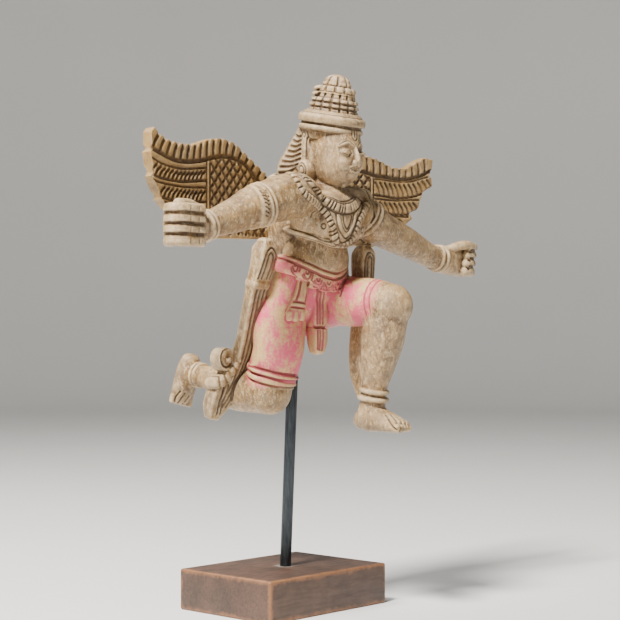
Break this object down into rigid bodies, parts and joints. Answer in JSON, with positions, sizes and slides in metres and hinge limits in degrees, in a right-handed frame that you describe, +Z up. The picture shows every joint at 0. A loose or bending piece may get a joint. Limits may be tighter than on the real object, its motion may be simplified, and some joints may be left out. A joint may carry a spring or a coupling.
{
  "type": "wooden garuda sculpture",
  "caption": "Carved wooden winged figure in flight, kneeling on one leg with arms spread, held by a slim steel rod on a rectangular block plinth.",
  "frame": {"origin": "centre of the plinth's underside", "axes": "+Z up; the figure faces -Y; +X is the figure's left"},
  "size_m": [0.3956, 0.2191, 0.469],
  "materials": {
    "carved_wood": "aged cream wood, dark wash in the cuts, worn pink and cream paint on the lower cloth",
    "wing_wood": "golden brown wood with dark cuts",
    "rod_steel": "blackened, low sheen",
    "plinth_wood": "dark stain, edges rubbed to orange brown"
  },
  "bodies": {
    "root": {"figure": "carved_wood", "wing_right": "wing_wood", "wing_left": "wing_wood", "rod": "rod_steel", "plinth": "plinth_wood"}
  },
  "joints": []
}
